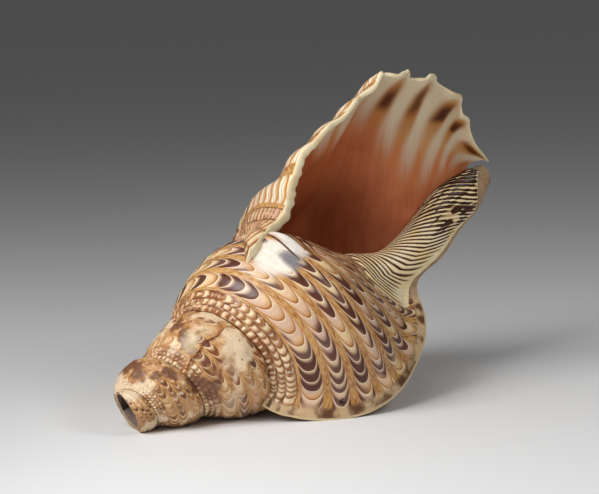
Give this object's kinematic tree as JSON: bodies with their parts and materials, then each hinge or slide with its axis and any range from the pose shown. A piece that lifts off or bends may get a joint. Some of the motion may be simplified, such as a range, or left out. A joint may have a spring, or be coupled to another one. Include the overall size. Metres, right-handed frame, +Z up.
{
  "type": "conch shell trumpet",
  "caption": "Large spiral sea shell with a flared scalloped mouth, a side flange and a cut-off tip, blown as a horn.",
  "frame": {"origin": "centre of the bounding box at floor level, the shell lying as in the picture", "axes": "+X along the floor from the cut tip to the canal, +Z up, the mouth opens towards -Y"},
  "size_m": [0.324, 0.1426, 0.2157],
  "materials": {
    "shell": "glossy natural shell, cream with brown crescents"
  },
  "bodies": {
    "root": {"shell": "shell"}
  },
  "joints": []
}
